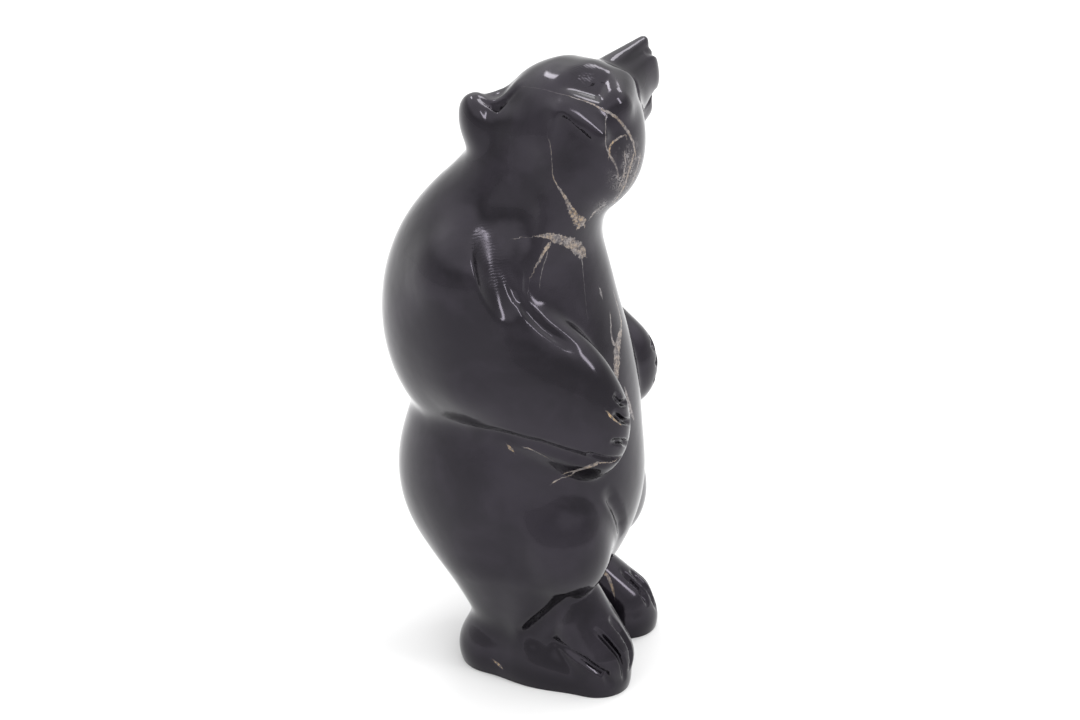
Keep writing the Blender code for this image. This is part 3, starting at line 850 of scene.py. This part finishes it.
class BearCarvingSettings(bpy.types.PropertyGroup):
    height: bpy.props.FloatProperty(
        name="Height", description="From the floor to the tip of the muzzle", default=HEIGHT,
        min=0.05, max=2, subtype="DISTANCE", unit="LENGTH")
    fineness: bpy.props.FloatProperty(
        name="Fineness", description="Size of the voxels that the skin is remade with", default=0.00115,
        min=0.0005, max=0.01, subtype="DISTANCE", unit="LENGTH", precision=5)
    smoothing: bpy.props.FloatProperty(
        name="Smoothing", description="How far the skin is evened out before the grooves are cut",
        default=0.5, min=0, max=1, subtype="FACTOR")


class BearStoneSettings(bpy.types.PropertyGroup):
    stone: bpy.props.FloatVectorProperty(
        name="Stone", description="Colour of the dark stone", default=(0.001, 0.0008, 0.0013),
        subtype="COLOR", min=0, max=1)
    stone_clouds: bpy.props.FloatVectorProperty(
        name="Clouds", description="Colour of the paler clouds in the dark stone",
        default=(0.0095, 0.008, 0.011), subtype="COLOR", min=0, max=1)
    calcite: bpy.props.FloatVectorProperty(
        name="Calcite", description="Colour of the grey-white veins", default=(0.235, 0.22, 0.218),
        subtype="COLOR", min=0, max=1)
    calcite_shade: bpy.props.FloatVectorProperty(
        name="Calcite grains", description="Colour of the darker grains in the veins",
        default=(0.1, 0.093, 0.094), subtype="COLOR", min=0, max=1)
    gold: bpy.props.FloatVectorProperty(
        name="Golden calcite", description="Colour of the golden parts of the veins",
        default=(0.32, 0.225, 0.12), subtype="COLOR", min=0, max=1)
    roughness: bpy.props.FloatProperty(
        name="Roughness", description="Roughness of the polished stone", default=0.11, min=0.04, max=1,
        subtype="FACTOR")


class BearStageSettings(bpy.types.PropertyGroup):
    floor: bpy.props.FloatVectorProperty(
        name="Floor", description="Colour of the floor", default=(0.78, 0.78, 0.78), subtype="COLOR",
        min=0, max=1)
    surroundings: bpy.props.FloatProperty(
        name="Surroundings", description="Brightness of the white surroundings", default=1.0,
        min=0, max=10)
    lamps: bpy.props.FloatProperty(
        name="Lamps", description="Brightness of the lamps", default=1.0, min=0, max=10)


class OBJECT_OT_carve_bear(bpy.types.Operator):
    """Carve the standing bear as one solid piece of stone"""
    bl_idname = "object.carve_bear"
    bl_label = "Carve the Bear"
    bl_options = {"REGISTER", "UNDO"}

    def execute(self, context):
        settings = context.scene.bear_carving
        unit = settings.height / GRID_TOP
        grooves = laid_grooves()
        bear = rough_out(unit)
        bear.name = bear.data.name = "bear"
        with_modifier(bear, "REMESH", mode="VOXEL", voxel_size=ROUGH_VOXEL * unit)
        draw_skin(bear, form_without_notches, unit)
        with_modifier(bear, "SMOOTH", factor=settings.smoothing, iterations=2)
        cut_notches(bear, unit)
        with_modifier(bear, "REMESH", mode="VOXEL", voxel_size=settings.fineness)
        draw_skin(bear, smooth_form, unit, passes=2)
        with_modifier(bear, "SMOOTH", factor=settings.smoothing, iterations=2)
        split_faces_at_grooves(bear, grooves, unit)
        draw_skin(bear, smooth_form, unit, passes=3)
        press_in_grooves(bear, grooves, unit)
        cut_flat_underside(bear)
        keep_within(bear, *(np.array(CAD_BOX) * settings.height / HEIGHT))
        ready(bear)
        bpy.ops.object.shade_smooth_by_angle(angle=math.radians(SHARPEST_SMOOTH_EDGE))
        lay_veins(bear, unit)
        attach(bear, "root")
        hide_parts("bear_carving")
        return {"FINISHED"}


class OBJECT_OT_polish_bear(bpy.types.Operator):
    """Give the bear its polished stone with calcite veins"""
    bl_idname = "object.polish_bear"
    bl_label = "Polish the Bear"
    bl_options = {"REGISTER", "UNDO"}

    def execute(self, context):
        scene = context.scene
        bear = scene.objects["bear"]
        bear.data.materials.clear()
        bear.data.materials.append(septarian_stone(scene.bear_stone, scene.bear_carving.height / GRID_TOP))
        return {"FINISHED"}


def toward(azimuth, elevation):
    """Direction from the bear to a viewer."""
    a, e = math.radians(azimuth), math.radians(elevation)
    return Vector((math.sin(a) * math.cos(e), -math.cos(a) * math.cos(e), math.sin(e)))


def add_floor(settings):
    """A wide pale floor, just below the bear."""
    bpy.ops.object.select_all(action="DESELECT")
    bpy.ops.mesh.primitive_plane_add(size=FLOOR_SIZE, location=(0, 0, -FLOOR_GAP))
    floor = bpy.context.object
    floor.name = "floor"
    paint = bpy.data.materials.new("pale_floor")
    paint.use_nodes = True
    shader = paint.node_tree.nodes["Principled BSDF"]
    shader.inputs["Base Color"].default_value = (*settings.floor, 1)
    shader.inputs["Roughness"].default_value = 0.9
    shader.inputs["Specular IOR Level"].default_value = 0.1
    floor.data.materials.append(paint)


def white_surroundings(settings):
    """White all round, brightest overhead, and a little brighter beyond the bear."""
    world = bpy.data.worlds.new("white_surroundings")
    world.use_nodes = True
    n = Nodes(world.node_tree)
    background = world.node_tree.nodes["Background"]
    background.inputs["Color"].default_value = (1, 1, 1, 1)
    where = n.add("ShaderNodeTexCoord").outputs["Generated"]
    height = n.add("ShaderNodeSeparateXYZ", {"Vector": where}).outputs["Z"]
    beyond = n.add(
        "ShaderNodeVectorMath", {0: where, 1: -toward(CAMERA_AZIMUTH, 0)}, operation="DOT_PRODUCT")
    light = n.math("ADD", n.ramp(height, 0.35, 0.75, 0.0, 0.95), n.ramp(height, 0.0, 0.35, 1.05, 0.9))
    light = n.math("ADD", light, n.ramp(beyond.outputs["Value"], -0.3, 0.9, 0.0, 0.15))
    n.put(background.inputs["Strength"], n.math("MULTIPLY", light, settings.surroundings))
    return world


def add_lamp(lamp, strength):
    """A soft box that shines on the bear."""
    light = bpy.data.lights.new(lamp.name, "AREA")
    light.shape = "RECTANGLE"
    light.size, light.size_y = lamp.width, lamp.height
    light.energy = lamp.brightness * math.pi * lamp.width * lamp.height * strength
    holder = bpy.data.objects.new(lamp.name, light)
    back = toward(lamp.azimuth, lamp.elevation)
    holder.location = LAMP_TARGET + back * LAMP_DISTANCE
    holder.rotation_euler = back.to_track_quat("Z", "Y").to_euler()
    bpy.context.scene.collection.objects.link(holder)


def add_camera():
    camera = bpy.data.cameras.new("camera")
    camera.lens, camera.sensor_width = CAMERA_LENS, SENSOR_WIDTH
    camera.shift_x, camera.shift_y = (shift / PICTURE_WIDTH for shift in PICTURE_SHIFT)
    camera.clip_start, camera.clip_end = 0.01, 20
    holder = bpy.data.objects.new("camera", camera)
    back = toward(CAMERA_AZIMUTH, CAMERA_ELEVATION)
    holder.location = CAMERA_TARGET + back * CAMERA_DISTANCE
    holder.rotation_euler = (-back).to_track_quat("-Z", "Y").to_euler()
    bpy.context.scene.collection.objects.link(holder)
    return holder


class SCENE_OT_stage_bear(bpy.types.Operator):
    """Set up the pale floor, the white surroundings, the lamps and the camera"""
    bl_idname = "scene.stage_bear"
    bl_label = "Set the Stage"
    bl_options = {"REGISTER", "UNDO"}

    def execute(self, context):
        settings = context.scene.bear_stage
        add_floor(settings)
        context.scene.world = white_surroundings(settings)
        for lamp in LAMPS:
            add_lamp(lamp, settings.lamps)
        context.scene.camera = add_camera()
        context.scene.view_settings.view_transform = "Standard"
        return {"FINISHED"}


class VIEW3D_PT_bear(bpy.types.Panel):
    bl_label = "Septarian Stone Bear"
    bl_idname = "VIEW3D_PT_bear"
    bl_space_type = "VIEW_3D"
    bl_region_type = "UI"
    bl_category = "Bear"

    def draw(self, context):
        for title, group, operator in (
            ("Carving", context.scene.bear_carving, "object.carve_bear"),
            ("Stone", context.scene.bear_stone, "object.polish_bear"),
            ("Stage", context.scene.bear_stage, "scene.stage_bear"),
        ):
            box = self.layout.box()
            box.label(text=title)
            for name in group.bl_rna.properties.keys():
                if name not in ("rna_type", "name"):
                    box.prop(group, name)
            box.operator(operator)


CLASSES = (
    BearCarvingSettings, BearStoneSettings, BearStageSettings,
    OBJECT_OT_carve_bear, OBJECT_OT_polish_bear, SCENE_OT_stage_bear, VIEW3D_PT_bear,
)


def register():
    for cls in CLASSES:
        bpy.utils.register_class(cls)
    bpy.types.Scene.bear_carving = bpy.props.PointerProperty(type=BearCarvingSettings)
    bpy.types.Scene.bear_stone = bpy.props.PointerProperty(type=BearStoneSettings)
    bpy.types.Scene.bear_stage = bpy.props.PointerProperty(type=BearStageSettings)


def unregister():
    del bpy.types.Scene.bear_stage, bpy.types.Scene.bear_stone, bpy.types.Scene.bear_carving
    for cls in reversed(CLASSES):
        bpy.utils.unregister_class(cls)


def main():
    register()
    bpy.ops.object.carve_bear()
    bpy.ops.object.polish_bear()
    bpy.ops.scene.stage_bear()


if __name__ == "__main__":
    main()
